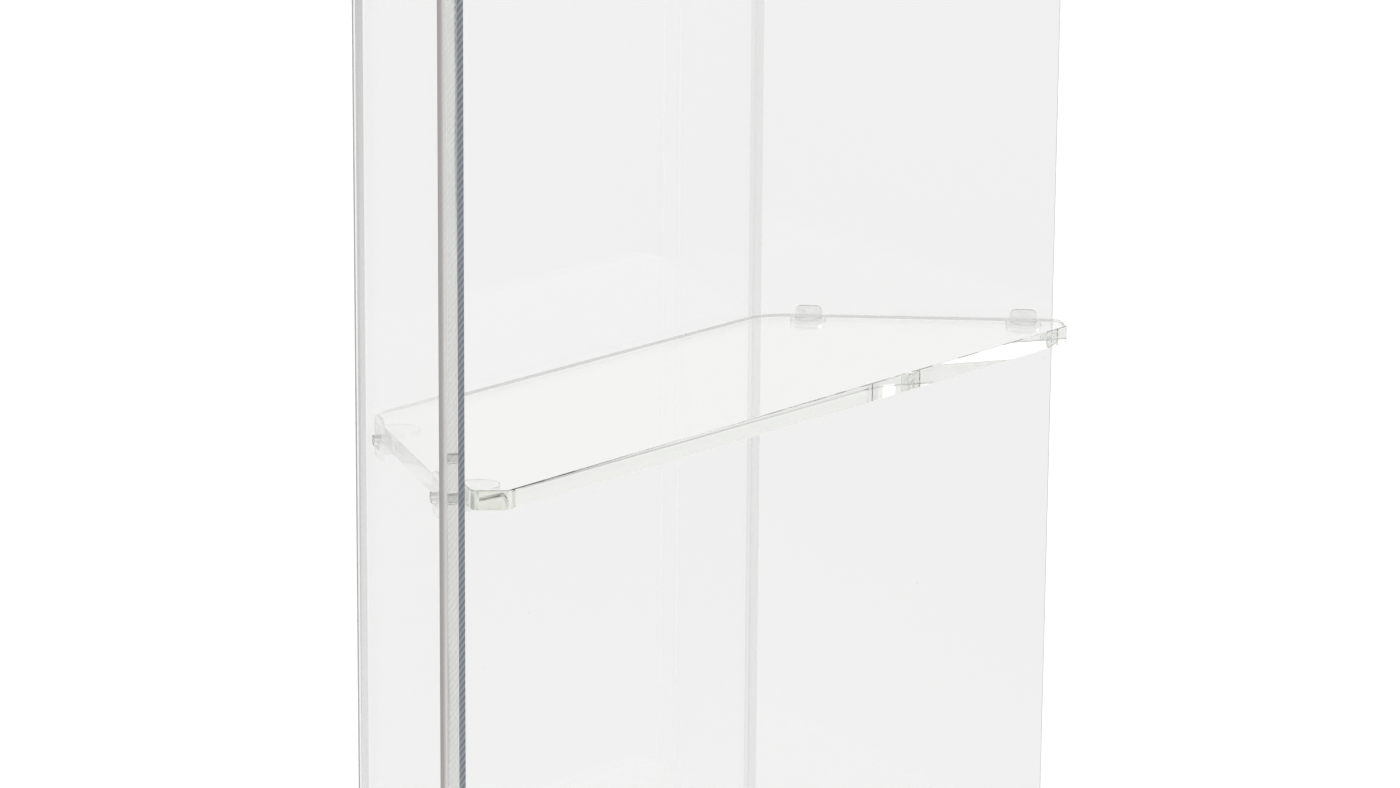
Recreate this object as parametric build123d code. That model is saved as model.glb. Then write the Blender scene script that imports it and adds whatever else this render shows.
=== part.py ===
from build123d import *
import math
import os

# Clear acrylic display case: three bonded upright panels that splay towards an open front,
# a base and a top plate, and removable shelves that lie loose on push-fit supports.
# Millimetres, +Z up, +Y towards the back. The origin is on the ground, under the middle
# of the overall box. Inside this file "plan" coordinates have the shelf's front edge at
# y = 0; Y_SHIFT moves them to the origin.

# Shelf
SHELF_FRONT = 500.0        # front edge, measured to the sharp corners
SHELF_BACK = 300.0         # back edge, measured to the sharp corners
SHELF_SIDE = 175.0         # slanted side, measured to the sharp corners
SHELF_THICK = 9.5
SHELF_CUT_FRONT = 20.5     # slanted cut across each front corner: where it leaves the front edge
SHELF_CUT_SIDE = 15.7      # and where it leaves the slanted side, both from the sharp corner
SHELF_CUT_RADIUS = 4.5     # rounding at both ends of the cut
SHELF_BACK_RADIUS = 25.0
SHELF_ARRIS = 0.4          # small chamfer along the polished edges
SHELF_SIDE_CLEARANCE = 0.4  # shelf edge to support plate
SHELF_BACK_CLEARANCE = 1.5  # shelf edge to back panel
SEAT_GAP = 0.1             # film of air between pieces that only rest on each other

# Upright panels
PANEL_THICK = 12.0
PANEL_HEIGHT = 885.8
PANEL_SETBACK = 19.5       # from the shelf's sharp front corner to the panel's front end
PANEL_NOSE = 3.6           # blunt flat left at the rear end of each side panel
BOND_GAP = 0.1             # thickness of the cement in a bonded joint

# Base plate and top plate
PLATE_THICK = 12.0
PLATE_OVERHANG = 6.0       # beyond the panels' outer faces and rear noses
PLATE_FRONT_OVERHANG = 2.0  # beyond the shelf's front edge
PLATE_RADIUS = 16.0
PLATE_ARRIS = 0.8

# Feet
FOOT_RADIUS = 8.0
FOOT_HEIGHT = 5.0
FOOT_ROUND = 1.2
FOOT_INSET = 22.0          # foot axis to the plate's front, back and slanted edges

# Shelf levels
SHELF_LEVELS = {"lower": 300.0, "upper": 600.0}  # height of each shelf's top face

# Shelf supports: a pin in the panel, a plate against the panel and a tongue under the shelf
PIN_RADIUS = 2.5
PIN_FIT = 0.15             # radial clearance of the pin in its hole
PIN_END_ROUND = 0.5
PIN_ABOVE_UNDERSIDE = 2.5  # pin axis above the shelf's underside
GRIP_THICK = 1.5           # plate between the panel and the shelf edge
GRIP_WIDTH = 14.5
GRIP_CORNER_RADIUS = 3.5
GRIP_ABOVE_PIN = 11.4
GRIP_BELOW_PIN = 9.5
TONGUE_WIDTH = 19.0
TONGUE_LENGTH = 20.5
TONGUE_THICK = 2.8
TONGUE_ROUND = 0.5
SUPPORT_FROM_FRONT = 35.0  # along the side, from the shelf's sharp front corner
SUPPORT_FROM_BACK = 25.0   # along the side, from the shelf's sharp back corner

# Worked out from the sizes above
SHELF_RUN = (SHELF_FRONT - SHELF_BACK) / 2
SHELF_DEPTH = math.sqrt(SHELF_SIDE**2 - SHELF_RUN**2)
SPLAY_X = SHELF_RUN / SHELF_SIDE     # a step along the side, towards the centre plane
SPLAY_Y = SHELF_DEPTH / SHELF_SIDE   # a step along the side, towards the back
SIDE_GAP = SEAT_GAP + GRIP_THICK + SHELF_SIDE_CLEARANCE
PANEL_BOTTOM = FOOT_HEIGHT + PLATE_THICK + BOND_GAP
PANEL_TOP = PANEL_BOTTOM + PANEL_HEIGHT
BACK_FACE = SHELF_DEPTH + SHELF_BACK_CLEARANCE
CORNER_ALONG = (BACK_FACE - SIDE_GAP * SPLAY_X) / SPLAY_Y
NOSE_DEPTH = PANEL_THICK - PANEL_NOSE
PANEL_END = CORNER_ALONG + NOSE_DEPTH * SPLAY_Y / SPLAY_X


def plan_point(along, outward, side):
    """Point beside the shelf's slanted side: along it from the front corner, then outward."""
    x = SHELF_FRONT / 2 - along * SPLAY_X + outward * SPLAY_Y
    y = along * SPLAY_Y + outward * SPLAY_X
    return (side * x, y)


REAR_NOSE = plan_point(PANEL_END, SIDE_GAP + PANEL_THICK, 1)
PLATE_FRONT = -PLATE_FRONT_OVERHANG
PLATE_BACK = REAR_NOSE[1] + PLATE_OVERHANG
Y_SHIFT = -(PLATE_FRONT + PLATE_BACK) / 2


def placed(x, y, z):
    """Location of a plan point in the case's own frame."""
    return Pos(x, y + Y_SHIFT, z)


def plan_slab(points, z, height):
    """Flat piece with the outline given in plan, standing on z."""
    outline = make_face(Polyline(*points, close=True))
    return placed(0, 0, z) * extrude(outline, height)


def vertical_edges(part, y_low, y_high):
    """Upright edges of a piece that lie between two places in plan y."""
    low = y_low + Y_SHIFT
    high = y_high + Y_SHIFT
    return part.edges().filter_by(Axis.Z).filter_by_position(Axis.Y, low, high)


def ease_arris(part, size):
    """Chamfer round the top and bottom outlines of a flat piece."""
    flats = part.faces().filter_by(Axis.Z)
    return chamfer(flats.edges(), size)


def make_shelf(top):
    """Trapezoid shelf with its front corners cut off and its back corners rounded."""
    half_front = SHELF_FRONT / 2 - SHELF_CUT_FRONT
    half_back = SHELF_BACK / 2
    cut_left = plan_point(SHELF_CUT_SIDE, 0, -1)
    cut_right = plan_point(SHELF_CUT_SIDE, 0, 1)
    points = [
        (-half_front, 0),
        (half_front, 0),
        cut_right,
        (half_back, SHELF_DEPTH),
        (-half_back, SHELF_DEPTH),
        cut_left,
    ]
    shelf = plan_slab(points, top - SHELF_THICK, SHELF_THICK)
    middle = SHELF_DEPTH / 2
    shelf = fillet(vertical_edges(shelf, -1, middle), SHELF_CUT_RADIUS)
    shelf = fillet(vertical_edges(shelf, middle, SHELF_DEPTH + 1), SHELF_BACK_RADIUS)
    return ease_arris(shelf, SHELF_ARRIS)


def support_places():
    """Places along a slanted side where the supports are."""
    return {"front": SUPPORT_FROM_FRONT, "rear": SHELF_SIDE - SUPPORT_FROM_BACK}


def support_location(along, shelf_top, side):
    """Location on a side panel's inner face, local +X pointing into the case."""
    x, y = plan_point(along, SIDE_GAP, side)
    inward = math.degrees(math.atan2(-SPLAY_X, -side * SPLAY_Y))
    height = shelf_top - SHELF_THICK + PIN_ABOVE_UNDERSIDE
    return placed(x, y, height) * Rot(0, 0, inward)


def make_pin_hole(along, shelf_top, side):
    """Cutter for the hole that a support's pin goes in."""
    reach = PANEL_THICK * 2
    cutter = Rot(0, 90, 0) * Cylinder(PIN_RADIUS + PIN_FIT, reach)
    return support_location(along, shelf_top, side) * Pos(-PANEL_THICK / 2, 0, 0) * cutter


def make_side_panel(side):
    """Slanted side panel; its rear end is cut to lie against the back panel's end."""
    outer = SIDE_GAP + PANEL_THICK
    points = [
        plan_point(PANEL_SETBACK, SIDE_GAP, side),
        plan_point(PANEL_SETBACK, outer, side),
        plan_point(PANEL_END, outer, side),
        plan_point(PANEL_END, SIDE_GAP + NOSE_DEPTH, side),
        plan_point(CORNER_ALONG, SIDE_GAP, side),
    ]
    panel = plan_slab(points, PANEL_BOTTOM, PANEL_HEIGHT)
    for shelf_top in SHELF_LEVELS.values():
        for along in support_places().values():
            panel -= make_pin_hole(along, shelf_top, side)
    return panel


def make_back_panel():
    """Square-edged panel between the rear ends of the side panels."""
    half = plan_point(CORNER_ALONG, SIDE_GAP, 1)[0] - BOND_GAP
    rear = BACK_FACE + PANEL_THICK
    points = [(-half, BACK_FACE), (half, BACK_FACE), (half, rear), (-half, rear)]
    return plan_slab(points, PANEL_BOTTOM, PANEL_HEIGHT)


def plate_half_width(y):
    """Half width of the base and top plates at a place in plan y."""
    outward = SIDE_GAP + PANEL_THICK + PLATE_OVERHANG
    return SHELF_FRONT / 2 + outward / SPLAY_Y - y * SPLAY_X / SPLAY_Y


def make_plate(z):
    """Trapezoid plate that closes the case below or above."""
    wide = plate_half_width(PLATE_FRONT)
    narrow = plate_half_width(PLATE_BACK)
    points = [
        (-wide, PLATE_FRONT),
        (wide, PLATE_FRONT),
        (narrow, PLATE_BACK),
        (-narrow, PLATE_BACK),
    ]
    plate = plan_slab(points, z, PLATE_THICK)
    plate = fillet(plate.edges().filter_by(Axis.Z), PLATE_RADIUS)
    return ease_arris(plate, PLATE_ARRIS)


def make_foot(side, y):
    """Round bumper foot under the base plate, flat where it meets the ground."""
    foot = Cylinder(FOOT_RADIUS, FOOT_HEIGHT, align=(Align.CENTER, Align.CENTER, Align.MIN))
    rim = foot.edges().sort_by(Axis.Z)[0]
    foot = fillet(rim, FOOT_ROUND)
    x = plate_half_width(y) - FOOT_INSET / SPLAY_Y
    return placed(side * x, y, 0) * foot


def make_grip():
    """Round-cornered plate that stands against the panel's inner face."""
    height = GRIP_ABOVE_PIN + GRIP_BELOW_PIN
    middle = (GRIP_ABOVE_PIN - GRIP_BELOW_PIN) / 2
    outline = Pos(0, middle) * RectangleRounded(GRIP_WIDTH, height, GRIP_CORNER_RADIUS)
    return Pos(SEAT_GAP, 0, 0) * extrude(Plane.YZ * outline, GRIP_THICK)


def make_tongue():
    """Round-ended tongue that the shelf lies on."""
    end_radius = TONGUE_WIDTH / 2
    straight = TONGUE_LENGTH - end_radius
    outline = Pos(straight / 2, 0) * Rectangle(straight, TONGUE_WIDTH)
    outline += Pos(straight, 0) * Circle(end_radius)
    underside = -PIN_ABOVE_UNDERSIDE - SEAT_GAP - TONGUE_THICK
    tongue = extrude(Pos(SEAT_GAP, 0, underside) * outline, TONGUE_THICK)
    lower_face = tongue.faces().sort_by(Axis.Z)[0]
    return fillet(lower_face.edges().filter_by(GeomType.CIRCLE), TONGUE_ROUND)


def make_pin():
    """Pin that goes through the panel and ends level with its outer face."""
    length = PANEL_THICK + SEAT_GAP
    middle = SEAT_GAP - length / 2
    pin = Pos(middle, 0, 0) * Rot(0, 90, 0) * Cylinder(PIN_RADIUS, length)
    tip = pin.edges().filter_by(GeomType.CIRCLE).sort_by(Axis.X)[0]
    return fillet(tip, PIN_END_ROUND)


def make_support(along, shelf_top, side):
    """One moulded shelf support in its place."""
    support = make_grip() + make_tongue() + make_pin()
    return support_location(along, shelf_top, side) * support


def write_node(part, name):
    """Write one piece to its own file."""
    export_step(part, f"parts/{name}.step")


os.makedirs("parts", exist_ok=True)
SIDES = {"left": -1, "right": 1}

write_node(make_plate(FOOT_HEIGHT), "base_plate")
write_node(make_plate(PANEL_TOP + BOND_GAP), "top_plate")
write_node(make_back_panel(), "back_panel")

for side_name, side_sign in SIDES.items():
    write_node(make_side_panel(side_sign), f"{side_name}_panel")
    foot_rows = {"front": PLATE_FRONT + FOOT_INSET, "rear": PLATE_BACK - FOOT_INSET}
    for row, row_y in foot_rows.items():
        write_node(make_foot(side_sign, row_y), f"foot_{row}_{side_name}")

for level, level_top in SHELF_LEVELS.items():
    write_node(make_shelf(level_top), f"{level}_shelf")
    for place, distance in support_places().items():
        for side_name, side_sign in SIDES.items():
            piece = make_support(distance, level_top, side_sign)
            write_node(piece, f"{level}_support_{place}_{side_name}")
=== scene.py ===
"""Clear acrylic display case: finishes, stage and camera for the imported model."""

import math

import bpy
from mathutils import Matrix, Vector


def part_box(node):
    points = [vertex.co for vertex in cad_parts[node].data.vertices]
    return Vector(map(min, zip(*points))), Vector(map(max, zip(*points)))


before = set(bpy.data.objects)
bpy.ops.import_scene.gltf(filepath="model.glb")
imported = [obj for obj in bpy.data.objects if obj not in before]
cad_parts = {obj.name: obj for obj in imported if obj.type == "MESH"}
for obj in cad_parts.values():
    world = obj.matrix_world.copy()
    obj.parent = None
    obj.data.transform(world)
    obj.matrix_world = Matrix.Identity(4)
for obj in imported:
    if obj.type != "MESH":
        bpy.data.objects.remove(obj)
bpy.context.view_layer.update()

bl_info = {
    "name": "Acrylic display case",
    "version": (1, 0, 0),
    "blender": (4, 5, 0),
    "location": "View3D > Sidebar > Display case",
    "description": "Finishes a clear acrylic display case with removable shelves and sets its stage",
    "category": "Object",
}

SIDE_PANELS = ("left_panel", "right_panel")
SHELVES = ("upper_shelf", "lower_shelf")
PLATES = ("base_plate", "top_plate")
SUPPORTS = tuple(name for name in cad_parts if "_support_" in name)
FEET = tuple(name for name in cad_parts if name.startswith("foot_"))

MILLIMETRE = 0.001


# ---------------------------------------------------------------- sizes and colours


class PanelProps(bpy.types.PropertyGroup):
    """Upright sheets."""

    side_tint: bpy.props.FloatVectorProperty(
        name="Side tint",
        description="Share of light that a side panel passes",
        subtype="COLOR",
        default=(0.938, 0.940, 0.936),
        min=0.0,
        max=1.0,
    )
    back_tint: bpy.props.FloatVectorProperty(
        name="Back tint",
        description="Share of light that the back panel passes",
        subtype="COLOR",
        default=(0.958, 0.960, 0.957),
        min=0.0,
        max=1.0,
    )
    # Outer band of a front end: painted shade, a grey that stands for shade seen through the panel's
    # body
    outer_share: bpy.props.FloatProperty(
        name="Outer band",
        description="Share of a sawn front end, from its outer edge, that is burnished",
        default=0.175,
        min=0.0,
        max=1.0,
        subtype="FACTOR",
    )
    # Inner band of a front end: coarsely sawn, and coloured with painted shade that stands for shade
    # seen through the panel's body
    inner_share: bpy.props.FloatProperty(
        name="Inner band",
        description="Share of a sawn front end, from its inner edge, that is left coarse",
        default=0.255,
        min=0.0,
        max=1.0,
        subtype="FACTOR",
    )
    # Painted shade colour of the outer band on the front ends
    outer_shade_colour: bpy.props.FloatVectorProperty(
        name="Outer band colour",
        description="Colour of the burnished band",
        subtype="COLOR",
        default=(0.54, 0.515, 0.50),
        min=0.0,
        max=1.0,
    )
    # Painted shade colour of the inner band, which the saw marks lighten and darken
    inner_shade_colour: bpy.props.FloatVectorProperty(
        name="Inner band colour",
        description="Colour of the coarse band",
        subtype="COLOR",
        default=(0.315, 0.345, 0.375),
        min=0.0,
        max=1.0,
    )
    # The rear ends get a dark grey-blue colour, darker than the clear sheet
    rear_colour: bpy.props.FloatVectorProperty(
        name="Rear end colour",
        description="Colour of the coarsely sawn rear ends",
        subtype="COLOR",
        default=(0.40, 0.43, 0.47),
        min=0.0,
        max=1.0,
    )
    saw_pitch: bpy.props.FloatProperty(
        name="Saw mark pitch",
        description="Height between saw marks on the cut ends",
        default=1.75 * MILLIMETRE,
        unit="LENGTH",
        subtype="DISTANCE",
    )
    saw_depth: bpy.props.FloatProperty(
        name="Saw mark depth",
        description="Depth of the saw marks on the cut ends",
        default=0.002 * MILLIMETRE,
        unit="LENGTH",
        subtype="DISTANCE",
    )


class ShelfProps(bpy.types.PropertyGroup):
    """Shelves."""

    tint: bpy.props.FloatVectorProperty(
        name="Tint",
        description="Share of light that the shelf passes",
        subtype="COLOR",
        default=(0.995, 1.0, 0.985),
        min=0.0,
        max=1.0,
    )
    edge_haze: bpy.props.FloatProperty(
        name="Edge haze",
        description="Share of light that the polished edges scatter",
        default=0.02,
        min=0.0,
        max=1.0,
        subtype="FACTOR",
    )


class PlateProps(bpy.types.PropertyGroup):
    """Base and top plates."""

    tint: bpy.props.FloatVectorProperty(
        name="Tint",
        description="Share of light that the plate passes",
        subtype="COLOR",
        default=(0.985, 0.99, 0.98),
        min=0.0,
        max=1.0,
    )
    edge_haze: bpy.props.FloatProperty(
        name="Edge haze",
        description="Share of light that the polished edges scatter",
        default=0.12,
        min=0.0,
        max=1.0,
        subtype="FACTOR",
    )


class SupportProps(bpy.types.PropertyGroup):
    """Moulded shelf supports."""

    tint: bpy.props.FloatVectorProperty(
        name="Tint",
        description="Share of light that the moulding passes",
        subtype="COLOR",
        default=(0.950, 0.953, 0.935),
        min=0.0,
        max=1.0,
    )
    flow_depth: bpy.props.FloatProperty(
        name="Flow mark depth",
        description="Depth of the marks that the flowing plastic leaves",
        default=0.03 * MILLIMETRE,
        unit="LENGTH",
        subtype="DISTANCE",
    )


class FootProps(bpy.types.PropertyGroup):
    """Bumper feet."""

    tint: bpy.props.FloatVectorProperty(
        name="Tint",
        description="Share of light that the bumper passes",
        subtype="COLOR",
        default=(0.93, 0.94, 0.93),
        min=0.0,
        max=1.0,
    )
    grain_depth: bpy.props.FloatProperty(
        name="Grain depth",
        description="Depth of the bumper's fine grain",
        default=0.05 * MILLIMETRE,
        unit="LENGTH",
        subtype="DISTANCE",
    )


class StageProps(bpy.types.PropertyGroup):
    """Floor, light and camera."""

    floor_radius: bpy.props.FloatProperty(
        name="Floor radius",
        description="Radius of the round floor",
        default=14.0,
        unit="LENGTH",
        subtype="DISTANCE",
    )
    floor_glow: bpy.props.FloatProperty(
        name="Floor glow",
        description="Own light of the white floor, as seen through or reflected in the case",
        default=0.835,
    )
    floor_white: bpy.props.FloatProperty(
        name="Floor white",
        description="Light added to the floor where it is seen directly",
        default=0.15,
    )
    glare: bpy.props.FloatProperty(
        name="Glare",
        description="Brightness of the diffuser that stands behind the case",
        default=1.7,
    )
    camera_offset: bpy.props.FloatVectorProperty(
        name="Camera offset",
        description="Camera from the middle of the upper shelf's front edge",
        subtype="TRANSLATION",
        default=(-1.8146, -1.3417, 0.5310),
    )
    camera_azimuth: bpy.props.FloatProperty(
        name="Azimuth",
        description="Direction the camera looks in, from +Y towards +X",
        default=math.radians(52.147),
        subtype="ANGLE",
    )
    camera_pitch: bpy.props.FloatProperty(
        name="Pitch",
        description="How far down the camera looks",
        default=math.radians(13.161),
        subtype="ANGLE",
    )
    camera_roll: bpy.props.FloatProperty(
        name="Roll",
        description="Tilt of the camera about its own axis",
        default=math.radians(0.47),
        subtype="ANGLE",
    )
    camera_lens: bpy.props.FloatProperty(
        name="Lens",
        description="Focal length on a 36 mm sensor, in millimetres",
        default=120.785,
    )


PROPERTY_GROUPS = {
    "case_panels": PanelProps,
    "case_shelves": ShelfProps,
    "case_plates": PlateProps,
    "case_supports": SupportProps,
    "case_feet": FootProps,
    "case_stage": StageProps,
}


# ---------------------------------------------------------------- node helpers


class Nodes:
    """Short way to write a material's node tree."""

    def __init__(self, name):
        self.material = bpy.data.materials.new(name)
        self.material.use_nodes = True
        self.start(self.material.node_tree, "ShaderNodeOutputMaterial")

    @classmethod
    def on(cls, tree, output_kind):
        """Helper for a node tree that isn't a material's."""
        nodes = cls.__new__(cls)
        nodes.start(tree, output_kind)
        return nodes

    def start(self, tree, output_kind):
        """Empties the tree and gives it its output."""
        self.tree = tree
        self.tree.nodes.clear()
        self.output = self.add(output_kind)

    def add(self, kind, **settings):
        """Adds a node and sets its attributes."""
        node = self.tree.nodes.new(kind)
        for key, value in settings.items():
            setattr(node, key, value)
        return node

    def link(self, source, target):
        """Joins an output to an input."""
        self.tree.links.new(source, target)

    def finish(self, shader):
        """Sends a shader to the tree's output."""
        self.link(shader.outputs[0], self.output.inputs["Surface"])

    def math(self, operation, first, second=None):
        """Math node on sockets or plain numbers; returns its output."""
        node = self.add("ShaderNodeMath", operation=operation)
        for socket, value in zip(node.inputs, (first, second)):
            if value is None:
                continue
            if isinstance(value, (int, float)):
                socket.default_value = value
            else:
                self.link(value, socket)
        return node.outputs[0]

    def times(self, first, second):
        """Product of two values."""
        return self.math("MULTIPLY", first, second)

    def rest_of_one(self, share):
        """What a share leaves over from one."""
        return self.math("SUBTRACT", 1.0, share)

    def largest(self, *values):
        """The largest of several sockets."""
        top = values[0]
        for value in values[1:]:
            top = self.math("MAXIMUM", top, value)
        return top

    def ramp(self, value, low, high):
        """Smooth step between two (place, level) pairs."""
        node = self.add("ShaderNodeMapRange", interpolation_type="SMOOTHSTEP")
        settings = (low[0], high[0], low[1], high[1])
        for name, setting in zip(("From Min", "From Max", "To Min", "To Max"), settings):
            node.inputs[name].default_value = setting
        self.link(value, node.inputs["Value"])
        return node.outputs[0]

    def split(self, vector):
        """The three parts of a vector socket."""
        node = self.add("ShaderNodeSeparateXYZ")
        self.link(vector, node.inputs[0])
        return node.outputs[0], node.outputs[1], node.outputs[2]

    def place(self):
        """Place and normal of the shading point in the piece's own frame."""
        coordinates = self.add("ShaderNodeTexCoord")
        return coordinates.outputs["Object"], coordinates.outputs["Normal"]

    def mix(self, share, first, second):
        """Colour between two colours; each may be a socket or plain numbers."""
        node = self.add("ShaderNodeMix", data_type="RGBA")
        self.link(share, node.inputs["Factor"])
        for socket, value in ((node.inputs[6], first), (node.inputs[7], second)):
            if isinstance(value, bpy.types.NodeSocket):
                self.link(value, socket)
            else:
                socket.default_value = (*value, 1.0)
        return node.outputs[2]

    def noise(self, vector, per_metre, detail=2.0):
        """Cloudy noise with about this many patches in a metre."""
        node = self.add("ShaderNodeTexNoise")
        self.link(vector, node.inputs["Vector"])
        node.inputs["Scale"].default_value = per_metre
        node.inputs["Detail"].default_value = detail
        return node.outputs["Fac"]

    def stretch(self, vector, factors):
        """A vector scaled by a different factor along each axis."""
        node = self.add("ShaderNodeVectorMath", operation="MULTIPLY")
        self.link(vector, node.inputs[0])
        node.inputs[1].default_value = factors
        return node.outputs[0]

    def bump(self, height, distance):
        """Normal disturbed by a height from zero to one that stands for this distance."""
        node = self.add("ShaderNodeBump")
        self.link(height, node.inputs["Height"])
        node.inputs["Distance"].default_value = distance
        return node.outputs[0]


# ---------------------------------------------------------------- clear plastic


ACRYLIC_IOR = 1.49
MOULDING_IOR = 1.50
BUMPER_IOR = 1.45

# Colour that light takes on inside each plastic, and how fast, per metre of its path.
PANEL_ABSORPTION = ((0.84, 0.88, 0.80), 0.5)
SHELF_ABSORPTION = ((0.84, 0.87, 0.70), 0.6)
PLATE_ABSORPTION = ((0.80, 0.88, 0.75), 3.0)
MOULDING_ABSORPTION = ((0.8, 0.85, 0.7), 3.0)
BUMPER_ABSORPTION = ((0.8, 0.8, 0.8), 30.0)


def clear_plastic(name, tint, absorption, ior=ACRYLIC_IOR):
    """Clear plastic: glossy, refracting, with a faint colour that deepens with the light's path."""
    nodes = Nodes(name)
    shader = nodes.add("ShaderNodeBsdfPrincipled")
    shader.inputs["Base Color"].default_value = (*tint, 1.0)
    shader.inputs["Roughness"].default_value = 0.0
    shader.inputs["IOR"].default_value = ior
    shader.inputs["Transmission Weight"].default_value = 1.0
    colour, density = absorption
    volume = nodes.add("ShaderNodeVolumeAbsorption")
    volume.inputs["Color"].default_value = (*colour, 1.0)
    volume.inputs["Density"].default_value = density
    nodes.link(volume.outputs[0], nodes.output.inputs["Volume"])
    nodes.finish(shader)
    return nodes, shader


def shaded(colour, factor):
    """A colour made darker or lighter by one factor."""
    return tuple(factor * part for part in colour)


# ---------------------------------------------------------------- marks on the plastic


SPECKS_PER_METRE = 55.0      # cells that may hold one dust speck each
SPECK_SIZE = 0.022           # radius of a speck, as a share of its cell
SPECK_SHARE = 0.12           # share of the cells that hold a speck
SPECK_HAZE = 0.25            # share of the light that a speck scatters
PLATE_SPECK_HAZE = 0.3       # the same on the base and top plates
RUBS_PER_METRE = 26.0        # patches of light rubbing
RUBS_DETAIL = 4.0
RUBS_START = 0.42            # noise level where a rubbed patch begins
RUBS_FULL = 0.72             # noise level where it is fully rubbed
PANEL_RUBS = (0.0, 0.02)     # roughness of a panel's face, untouched and rubbed
SHELF_RUBS = (0.0, 0.03)
PLATE_RUBS = (0.0, 0.05)
WAVES_PER_METRE = 9.0        # slow ripples of a cast sheet
WAVES_DETAIL = 1.0
WAVE_HEIGHT = 0.08 * MILLIMETRE


def dust_specks(nodes, place):
    """One on tiny scattered specks, zero elsewhere."""
    cells = nodes.add("ShaderNodeTexVoronoi")
    nodes.link(place, cells.inputs["Vector"])
    cells.inputs["Scale"].default_value = SPECKS_PER_METRE
    near = nodes.math("LESS_THAN", cells.outputs["Distance"], SPECK_SIZE)
    pick = nodes.split(cells.outputs["Color"])[0]
    kept = nodes.math("LESS_THAN", pick, SPECK_SHARE)
    return nodes.times(near, kept)


def rubbed(nodes, place, roughness):
    """Roughness that changes from patch to patch between its two limits."""
    cloud = nodes.noise(place, RUBS_PER_METRE, RUBS_DETAIL)
    untouched, worn = roughness
    return nodes.ramp(cloud, (RUBS_START, untouched), (RUBS_FULL, worn))


def sheet_waves(nodes, place):
    """Normal of a cast sheet's slow ripple."""
    return nodes.bump(nodes.noise(place, WAVES_PER_METRE, WAVES_DETAIL), WAVE_HEIGHT)


LEVEL_FACE = 0.5    # a face whose normal rises less than this is an edge of a level sheet


def edge_faces(nodes, normal):
    """One on the edges of a level sheet, zero on its two faces."""
    return nodes.math("LESS_THAN", nodes.math("ABSOLUTE", nodes.split(normal)[2]), LEVEL_FACE)


JOINT_FACE = 0.99      # a face whose normal lies this far along X is a cemented end
CEMENT_HAZE = 0.10     # share of the light that each face of a cemented joint scatters


def bonded_joint(nodes):
    """One on the upright faces that are cemented together, zero elsewhere."""
    place, normal = nodes.place()
    sideways = nodes.math("ABSOLUTE", nodes.split(normal)[0])
    upright = nodes.math("GREATER_THAN", sideways, JOINT_FACE)
    back_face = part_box("back_panel")[1][1]
    covered = nodes.math("LESS_THAN", nodes.split(place)[1], back_face)
    return nodes.times(upright, covered)


def show_cement(nodes, shader, joint):
    """Leaves only a little haze where cement joins two faces into one."""
    clear = nodes.times(joint, 1.0 - CEMENT_HAZE)
    nodes.link(nodes.rest_of_one(clear), shader.inputs["Alpha"])


# ---------------------------------------------------------------- sawn ends, with bands of painted shade


END_FILM = 0.05 * MILLIMETRE    # a place this close to a panel's end is on it

BAND_HAZE = 0.92                # share of the light that the bands of a front end scatter; the scattered light takes their painted shade colour
REAR_HAZE = 0.95                # the same for a whole rear end
OUTER_SHADE_FADE = (-0.07, 0.10)    # where the outer band's painted shade fades, about the band's own edge
FROST_FADE = (0.08, 0.20)       # where its haze fades
COARSE_FADE = 0.03              # how soon the coarsely sawn inner band with its painted shade is fully there
RAGGED_PER_METRE = 900.0        # ragged border of the coarsely sawn inner band
RAGGED_SHARE = 0.02

SAW_CLIMB = 1.4                 # height that a saw mark gains for each unit of width
SAW_WANDER = 0.9                # how far the marks stray, in pitches
WANDER_PER_METRE = 120.0
WANDER_DETAIL = 3.0
EVERY_MARK = 0.18               # strength of each mark
SECOND_MARK = 0.32              # extra strength of every second one
MARK_HAZE = ((0.2, 0.01), (1.0, 0.09))    # light scattered where a mark is faint and strong
MARK_DARK = 0.45                # colour of the coarsely sawn inner band between marks and on them, as factors on its painted shade
MARK_LIGHT = 1.55
MIDDLE_DARK = (0.92, 0.905, 0.895)    # the same for the clear middle
MIDDLE_LIGHT = (1.0, 0.995, 0.99)

CUT_ROUGHNESS = 0.4             # roughness of coarsely sawn plastic
CUT_STREAKS = (1.0, 1.0, 0.2)   # its tone runs in upright streaks
CUT_TONES_PER_METRE = 240.0
CUT_DETAIL = 4.0
CUT_DARK = 0.8
CUT_LIGHT = 1.2


class SidePanel:
    """Where the left side panel's faces lie; the right one is its mirror image."""

    def __init__(self):
        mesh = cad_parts["left_panel"].data
        widest = max(mesh.polygons, key=lambda polygon: polygon.area)
        self.across_x = abs(widest.normal.x)
        self.across_y = abs(widest.normal.y)
        places = [vertex.co for vertex in mesh.vertices]
        outward = [abs(co.x) * self.across_x + co.y * self.across_y for co in places]
        forward = [abs(co.x) * self.across_y - co.y * self.across_x for co in places]
        self.outer = max(outward)
        self.thickness = max(outward) - min(outward)
        self.front = max(forward)
        self.rear = min(forward)

    def outward(self, nodes, place):
        """Distance from the middle of the case along the panel's outward direction."""
        return self.slanted(nodes, place, self.across_x, self.across_y)

    def forward(self, nodes, place):
        """Distance along the panel towards its front end."""
        return self.slanted(nodes, place, self.across_y, -self.across_x)

    def slanted(self, nodes, place, share_x, share_y):
        """Distance along a level direction that is the same on both side panels."""
        place_x, place_y = nodes.split(place)[:2]
        sideways = nodes.times(nodes.math("ABSOLUTE", place_x), share_x)
        return nodes.math("ADD", sideways, nodes.times(place_y, share_y))


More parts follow.
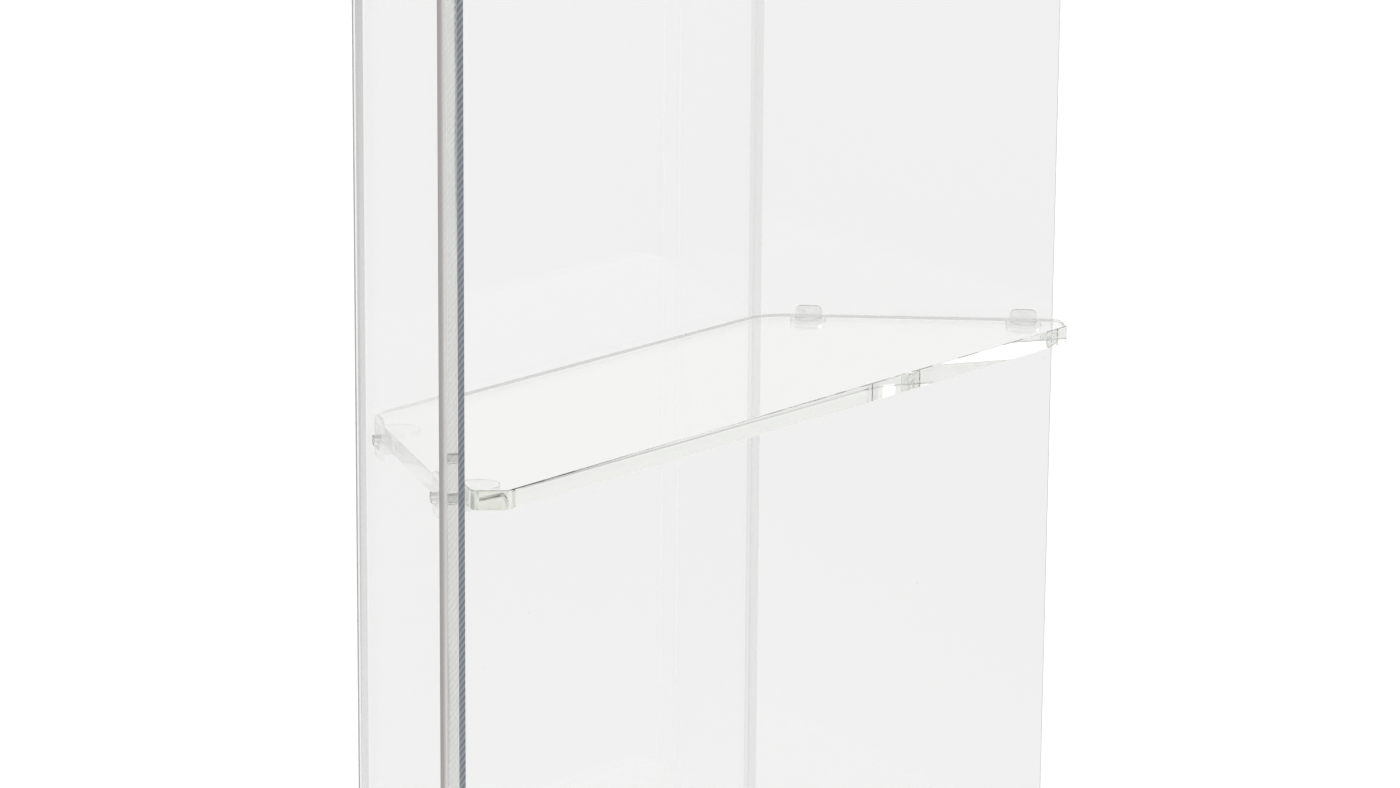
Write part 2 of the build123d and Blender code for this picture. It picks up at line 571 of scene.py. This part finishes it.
class SawnEndsAndPaintedShade:
    """What the saw leaves on the front and rear ends of the side panels, and bands of painted shade
    on the front ends.
    """

    def __init__(self, nodes, place, props):
        self.nodes = nodes
        self.place = place
        self.props = props
        panel = SidePanel()
        forward = panel.forward(nodes, place)
        self.inward = nodes.math("SUBTRACT", panel.outer, panel.outward(nodes, place))
        self.front = nodes.math("GREATER_THAN", forward, panel.front - END_FILM)
        self.rear = nodes.math("LESS_THAN", forward, panel.rear + END_FILM)
        self.marks = self.saw_marks()
        self.burnished, self.coarse, self.frosted = self.front_bands(panel.thickness)

    def saw_marks(self):
        """Slanting saw marks from zero to one, every second one deeper."""
        nodes = self.nodes
        climb = nodes.times(self.inward, SAW_CLIMB)
        height = nodes.math("SUBTRACT", nodes.split(self.place)[2], climb)
        stray = nodes.noise(self.place, WANDER_PER_METRE, WANDER_DETAIL)
        wander = nodes.times(stray, SAW_WANDER)
        turns = nodes.math("ADD", nodes.math("DIVIDE", height, self.props.saw_pitch), wander)
        each = nodes.math("SINE", nodes.times(turns, 2 * math.pi))
        second = nodes.math("SINE", nodes.times(turns, math.pi))
        both = nodes.math("ADD", nodes.times(each, EVERY_MARK), nodes.times(second, SECOND_MARK))
        return nodes.math("ADD", both, EVERY_MARK + SECOND_MARK)

    def front_bands(self, thickness):
        """Outer band of painted shade, coarsely sawn inner band with painted shade, and where the
        front end scatters light.
        """
        nodes = self.nodes
        depth = nodes.math("DIVIDE", self.inward, thickness)
        ragged = nodes.times(nodes.noise(self.place, RAGGED_PER_METRE), RAGGED_SHARE)
        edge = self.props.outer_share
        burnished = nodes.ramp(depth, (edge + OUTER_SHADE_FADE[0], 1.0), (edge + OUTER_SHADE_FADE[1], 0.0))
        frosted = nodes.ramp(depth, (edge + FROST_FADE[0], 1.0), (edge + FROST_FADE[1], 0.0))
        start = 1.0 - self.props.inner_share
        coarse = nodes.ramp(
            nodes.math("ADD", depth, ragged), (start, 0.0), (start + COARSE_FADE, 1.0)
        )
        bands = (burnished, coarse, nodes.largest(frosted, coarse))
        return [nodes.times(band, self.front) for band in bands]

    def haze(self):
        """Share of the light that the ends scatter."""
        nodes = self.nodes
        on_marks = nodes.times(nodes.ramp(self.marks, *MARK_HAZE), self.front)
        on_rear = nodes.times(self.rear, REAR_HAZE)
        on_bands = nodes.times(self.frosted, BAND_HAZE)
        return nodes.largest(on_marks, on_rear, on_bands)

    def colour(self):
        """Colour of both ends, with bands of painted shade on the front ends, and of the polished
        faces between them.
        """
        nodes, props = self.nodes, self.props
        middle = nodes.mix(self.marks, MIDDLE_DARK, MIDDLE_LIGHT)
        # real saw marks drawn over the inner band's painted shade
        marks_on_painted_shade = nodes.mix(
            self.marks,
            shaded(props.inner_shade_colour, MARK_DARK),
            shaded(props.inner_shade_colour, MARK_LIGHT),
        )
        tone = nodes.noise(
            nodes.stretch(self.place, CUT_STREAKS), CUT_TONES_PER_METRE, CUT_DETAIL
        )
        # rear ends: a dark grey-blue with upright streaks of lighter and darker tone
        sawn = nodes.mix(
            tone, shaded(props.rear_colour, CUT_DARK), shaded(props.rear_colour, CUT_LIGHT)
        )
        # outer band: its painted shade laid over the clear middle
        outer_and_middle = nodes.mix(self.burnished, middle, tuple(props.outer_shade_colour))
        ends = nodes.mix(self.rear, nodes.mix(self.coarse, outer_and_middle, marks_on_painted_shade), sawn)
        on_end = nodes.math("ADD", self.front, self.rear)
        return nodes.mix(on_end, tuple(props.side_tint), ends)

    def roughness(self):
        """Roughness of the coarsely sawn places."""
        return self.nodes.times(self.nodes.largest(self.rear, self.coarse), CUT_ROUGHNESS)

    def normal(self):
        """Normal of the sheet's ripple with the saw marks cut into it."""
        nodes = self.nodes
        ripple = nodes.times(nodes.noise(self.place, WAVES_PER_METRE, WAVES_DETAIL), WAVE_HEIGHT)
        cut = nodes.times(nodes.times(self.marks, self.front), self.props.saw_depth)
        return nodes.bump(nodes.math("ADD", ripple, cut), 1.0)


def dress(node_name, material):
    """Gives a CAD node one material."""
    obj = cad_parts[node_name]
    if not obj.material_slots:
        obj.data.materials.append(material)
    for slot in obj.material_slots:
        slot.link = "OBJECT"
        slot.material = material


# ---------------------------------------------------------------- stage


FLOOR_SIDES = 96
FLOOR_ROUGHNESS = 0.9
FLOOR_PAINT = 0.15                # white paint on the floor, which adds to its own light
FLOOR_FRONT = (-1.2, 0.5)         # distance along Y and level: dimmer in front of the case
FLOOR_REAR = (0.05, 1.0)

DIFFUSER_HALF_WIDTH = 0.22
DIFFUSER_LOW = 0.75
DIFFUSER_HIGH = 1.5
DIFFUSER_BEARING = math.radians(23.7)    # from +Y towards +X, from the upper shelf's right end
DIFFUSER_DISTANCE = 2.3

ROOM_FRONT = (-0.45, 0.85)        # direction along Y and level: dimmer in front
ROOM_REAR = (-0.05, 1.02)
ROOM_SIDES = (0.45, 1.0)          # direction along Z and level: dimmer overhead
ROOM_OVERHEAD = (0.75, 0.40)

SENSOR_WIDTH = 36.0
CLIP_START = 0.05
CLIP_END = 100.0
BOUNCES = 48                      # light crosses many clear faces


def stage_piece(name, corners, material):
    """Makes one flat face that belongs to the stage and not to the case."""
    mesh = bpy.data.meshes.new(name)
    mesh.from_pydata(corners, [], [list(range(len(corners)))])
    mesh.materials.append(material)
    piece = bpy.data.objects.new(name, mesh)
    bpy.context.collection.objects.link(piece)
    return piece


# ---------------------------------------------------------------- operators


class CASE_OT_stage(bpy.types.Operator):
    """Make the floor, the light and the camera"""

    bl_idname = "case.stage"
    bl_label = "Stage"

    def execute(self, context):
        scene = context.scene
        props = scene.case_stage
        self.make_floor(props)
        self.make_diffuser(props)
        self.make_room(scene)
        self.make_camera(scene, props)
        scene.view_settings.view_transform = "Standard"
        scene.cycles.max_bounces = BOUNCES
        scene.cycles.transmission_bounces = BOUNCES
        scene.cycles.glossy_bounces = BOUNCES
        scene.cycles.transparent_max_bounces = BOUNCES
        return {"FINISHED"}

    def make_floor(self, props):
        """Round white floor that gives a soft light of its own."""
        nodes = Nodes("floor_white")
        shader = nodes.add("ShaderNodeBsdfPrincipled")
        shader.inputs["Roughness"].default_value = FLOOR_ROUGHNESS
        bright = nodes.ramp(nodes.split(nodes.place()[0])[1], FLOOR_FRONT, FLOOR_REAR)
        seen_directly = nodes.add("ShaderNodeLightPath").outputs["Is Camera Ray"]
        added = nodes.times(seen_directly, props.floor_white)
        glow = nodes.math("ADD", added, props.floor_glow)
        nodes.link(nodes.times(bright, glow), shader.inputs["Emission Strength"])
        nodes.link(nodes.times(bright, FLOOR_PAINT), shader.inputs["Base Color"])
        shader.inputs["Emission Color"].default_value = (1.0, 1.0, 1.0, 1.0)
        nodes.finish(shader)
        turns = [2 * math.pi * side / FLOOR_SIDES for side in range(FLOOR_SIDES)]
        radius = props.floor_radius
        rim = [(radius * math.cos(turn), radius * math.sin(turn), 0.0) for turn in turns]
        stage_piece("floor", rim, nodes.material)

    def make_diffuser(self, props):
        """Lit screen behind the case, to the left of where the camera looks."""
        nodes = Nodes("diffuser_light")
        shader = nodes.add("ShaderNodeEmission")
        shader.inputs["Strength"].default_value = props.glare
        nodes.finish(shader)
        corners = [
            (-DIFFUSER_HALF_WIDTH, 0.0, DIFFUSER_LOW),
            (DIFFUSER_HALF_WIDTH, 0.0, DIFFUSER_LOW),
            (DIFFUSER_HALF_WIDTH, 0.0, DIFFUSER_HIGH),
            (-DIFFUSER_HALF_WIDTH, 0.0, DIFFUSER_HIGH),
        ]
        screen = stage_piece("diffuser", corners, nodes.material)
        right_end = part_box("upper_shelf")[1][0]
        screen.location = (
            right_end + DIFFUSER_DISTANCE * math.sin(DIFFUSER_BEARING),
            DIFFUSER_DISTANCE * math.cos(DIFFUSER_BEARING),
            0.0,
        )
        screen.rotation_euler = (0, 0, -DIFFUSER_BEARING)
        screen.visible_camera = False

    def make_room(self, scene):
        """Soft white light from all round, dimmer in front and overhead."""
        world = bpy.data.worlds.new("studio")
        world.use_nodes = True
        nodes = Nodes.on(world.node_tree, "ShaderNodeOutputWorld")
        background = nodes.add("ShaderNodeBackground")
        direction = nodes.add("ShaderNodeTexCoord").outputs["Generated"]
        toward_y, toward_z = nodes.split(direction)[1:]
        from_front = nodes.ramp(toward_y, ROOM_FRONT, ROOM_REAR)
        from_above = nodes.ramp(toward_z, ROOM_SIDES, ROOM_OVERHEAD)
        nodes.link(nodes.times(from_front, from_above), background.inputs["Color"])
        nodes.finish(background)
        scene.world = world

    def make_camera(self, scene, props):
        """Camera placed from the middle of the upper shelf's front edge."""
        camera_data = bpy.data.cameras.new("camera")
        camera_data.lens = props.camera_lens
        camera_data.sensor_width = SENSOR_WIDTH
        camera_data.clip_start = CLIP_START
        camera_data.clip_end = CLIP_END
        camera = bpy.data.objects.new("camera", camera_data)
        bpy.context.collection.objects.link(camera)
        low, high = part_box("upper_shelf")
        front_edge = Vector(((low[0] + high[0]) / 2, low[1], high[2]))
        place = Matrix.Translation(front_edge + Vector(props.camera_offset))
        turn = Matrix.Rotation(-props.camera_azimuth, 4, "Z")
        tilt = Matrix.Rotation(math.pi / 2 - props.camera_pitch, 4, "X")
        roll = Matrix.Rotation(props.camera_roll, 4, "Z")
        camera.matrix_world = place @ turn @ tilt @ roll
        scene.camera = camera


class CASE_OT_panels(bpy.types.Operator):
    """Finish the upright panels in clear acrylic with sawn ends and bands of painted shade"""

    bl_idname = "case.panels"
    bl_label = "Upright panels"

    def execute(self, context):
        props = context.scene.case_panels
        dress("back_panel", self.back_panel_acrylic(props))
        side_material = self.side_panel_acrylic(props)
        for name in SIDE_PANELS:
            dress(name, side_material)
        return {"FINISHED"}

    def back_panel_acrylic(self, props):
        """Ripple, rubbing and specks of dust on polished faces."""
        nodes, shader = clear_plastic("panel_acrylic", props.back_tint, PANEL_ABSORPTION)
        place = nodes.place()[0]
        joint = bonded_joint(nodes)
        specks = nodes.times(dust_specks(nodes, place), SPECK_HAZE)
        cover = nodes.largest(specks, joint)
        nodes.link(nodes.rest_of_one(cover), shader.inputs["Transmission Weight"])
        nodes.link(rubbed(nodes, place, PANEL_RUBS), shader.inputs["Roughness"])
        nodes.link(sheet_waves(nodes, place), shader.inputs["Normal"])
        show_cement(nodes, shader, joint)
        return nodes.material

    def side_panel_acrylic(self, props):
        """The same, with bands of painted shade and slanting saw marks on the panel's ends."""
        nodes, shader = clear_plastic("sawn_panel_acrylic_painted_shade", props.side_tint, PANEL_ABSORPTION)
        place = nodes.place()[0]
        ends = SawnEndsAndPaintedShade(nodes, place, props)
        joint = bonded_joint(nodes)
        specks = nodes.times(dust_specks(nodes, place), SPECK_HAZE)
        cover = nodes.largest(ends.haze(), specks, joint)
        rough = nodes.largest(rubbed(nodes, place, PANEL_RUBS), ends.roughness())
        nodes.link(nodes.rest_of_one(cover), shader.inputs["Transmission Weight"])
        nodes.link(ends.colour(), shader.inputs["Base Color"])
        nodes.link(rough, shader.inputs["Roughness"])
        nodes.link(ends.normal(), shader.inputs["Normal"])
        show_cement(nodes, shader, joint)
        return nodes.material


FLAME_STREAKS = (1.0, 1.0, 0.3)    # flame polishing leaves upright streaks on an edge
FLAMES_PER_METRE = 70.0
FLAME_GLAZE = ((0.35, 0.0), (0.7, 0.06))    # noise level and roughness of the streaks


class CASE_OT_shelves(bpy.types.Operator):
    """Finish the shelves in clear acrylic with polished edges"""

    bl_idname = "case.shelves"
    bl_label = "Shelves"

    def execute(self, context):
        props = context.scene.case_shelves
        nodes, shader = clear_plastic("shelf_acrylic", props.tint, SHELF_ABSORPTION)
        place, normal = nodes.place()
        edge = edge_faces(nodes, normal)
        specks = nodes.times(dust_specks(nodes, place), SPECK_HAZE)
        cover = nodes.largest(nodes.times(edge, props.edge_haze), specks)
        nodes.link(nodes.rest_of_one(cover), shader.inputs["Transmission Weight"])
        flame = nodes.noise(nodes.stretch(place, FLAME_STREAKS), FLAMES_PER_METRE)
        glaze = nodes.times(nodes.ramp(flame, *FLAME_GLAZE), edge)
        rough = nodes.largest(rubbed(nodes, place, SHELF_RUBS), glaze)
        nodes.link(rough, shader.inputs["Roughness"])
        nodes.link(sheet_waves(nodes, place), shader.inputs["Normal"])
        for name in SHELVES:
            dress(name, nodes.material)
        return {"FINISHED"}


class CASE_OT_plates(bpy.types.Operator):
    """Finish the base and top plates"""

    bl_idname = "case.plates"
    bl_label = "Base and top plates"

    def execute(self, context):
        props = context.scene.case_plates
        nodes, shader = clear_plastic("plate_acrylic", props.tint, PLATE_ABSORPTION)
        place, normal = nodes.place()
        edge_haze = nodes.times(edge_faces(nodes, normal), props.edge_haze)
        specks = nodes.times(dust_specks(nodes, place), PLATE_SPECK_HAZE)
        cover = nodes.largest(edge_haze, specks)
        nodes.link(nodes.rest_of_one(cover), shader.inputs["Transmission Weight"])
        nodes.link(rubbed(nodes, place, PLATE_RUBS), shader.inputs["Roughness"])
        nodes.link(sheet_waves(nodes, place), shader.inputs["Normal"])
        for name in PLATES:
            dress(name, nodes.material)
        return {"FINISHED"}


FLOW_STRETCH = (1.0, 1.0, 2.5)    # marks of the flowing plastic lie level
FLOWS_PER_METRE = 140.0
FLOW_DETAIL = 3.0
FLOW_ROUGHNESS = ((0.35, 0.015), (0.7, 0.06))
CLOUDS_PER_METRE = 300.0
CLOUD_CLEARNESS = ((0.4, 0.98), (0.7, 0.92))    # share of light that passes unscattered


class CASE_OT_supports(bpy.types.Operator):
    """Finish the moulded shelf supports"""

    bl_idname = "case.supports"
    bl_label = "Shelf supports"

    def execute(self, context):
        props = context.scene.case_supports
        nodes, shader = clear_plastic(
            "support_moulding", props.tint, MOULDING_ABSORPTION, MOULDING_IOR
        )
        place = nodes.place()[0]
        flow = nodes.noise(nodes.stretch(place, FLOW_STRETCH), FLOWS_PER_METRE, FLOW_DETAIL)
        nodes.link(nodes.ramp(flow, *FLOW_ROUGHNESS), shader.inputs["Roughness"])
        nodes.link(nodes.bump(flow, props.flow_depth), shader.inputs["Normal"])
        clearness = nodes.ramp(nodes.noise(place, CLOUDS_PER_METRE), *CLOUD_CLEARNESS)
        nodes.link(clearness, shader.inputs["Transmission Weight"])
        for name in SUPPORTS:
            dress(name, nodes.material)
        return {"FINISHED"}


GRIME_PER_METRE = 260.0
GRIME_DETAIL = 4.0
GRIME_ROUGHNESS = ((0.35, 0.15), (0.7, 0.45))
SCUFF_CLEARNESS = ((0.0, 0.55), (2.0 * MILLIMETRE, 0.85))    # height and clearness above the floor


class CASE_OT_feet(bpy.types.Operator):
    """Finish the bumper feet"""

    bl_idname = "case.feet"
    bl_label = "Feet"

    def execute(self, context):
        props = context.scene.case_feet
        nodes, shader = clear_plastic("bumper_rubber", props.tint, BUMPER_ABSORPTION, BUMPER_IOR)
        place = nodes.place()[0]
        grime = nodes.noise(place, GRIME_PER_METRE, GRIME_DETAIL)
        nodes.link(nodes.ramp(grime, *GRIME_ROUGHNESS), shader.inputs["Roughness"])
        nodes.link(nodes.bump(grime, props.grain_depth), shader.inputs["Normal"])
        clearness = nodes.ramp(nodes.split(place)[2], *SCUFF_CLEARNESS)
        nodes.link(clearness, shader.inputs["Transmission Weight"])
        for name in FEET:
            dress(name, nodes.material)
        return {"FINISHED"}


# ---------------------------------------------------------------- sidebar and registration


OPERATORS = (
    CASE_OT_stage,
    CASE_OT_panels,
    CASE_OT_shelves,
    CASE_OT_plates,
    CASE_OT_supports,
    CASE_OT_feet,
)


class CASE_PT_sidebar(bpy.types.Panel):
    """Lists the steps that finish the display case"""

    bl_idname = "CASE_PT_sidebar"
    bl_label = "Display case"
    bl_space_type = "VIEW_3D"
    bl_region_type = "UI"
    bl_category = "Display case"

    def draw(self, context):
        for operator in OPERATORS:
            self.layout.operator(operator.bl_idname)


def register():
    for name, group in PROPERTY_GROUPS.items():
        bpy.utils.register_class(group)
        setattr(bpy.types.Scene, name, bpy.props.PointerProperty(type=group))
    for operator in OPERATORS:
        bpy.utils.register_class(operator)
    bpy.utils.register_class(CASE_PT_sidebar)


def unregister():
    bpy.utils.unregister_class(CASE_PT_sidebar)
    for operator in reversed(OPERATORS):
        bpy.utils.unregister_class(operator)
    for name, group in PROPERTY_GROUPS.items():
        delattr(bpy.types.Scene, name)
        bpy.utils.unregister_class(group)


def main():
    register()
    bpy.ops.case.stage()
    bpy.ops.case.panels()
    bpy.ops.case.shelves()
    bpy.ops.case.plates()
    bpy.ops.case.supports()
    bpy.ops.case.feet()


if __name__ == "__main__":
    main()
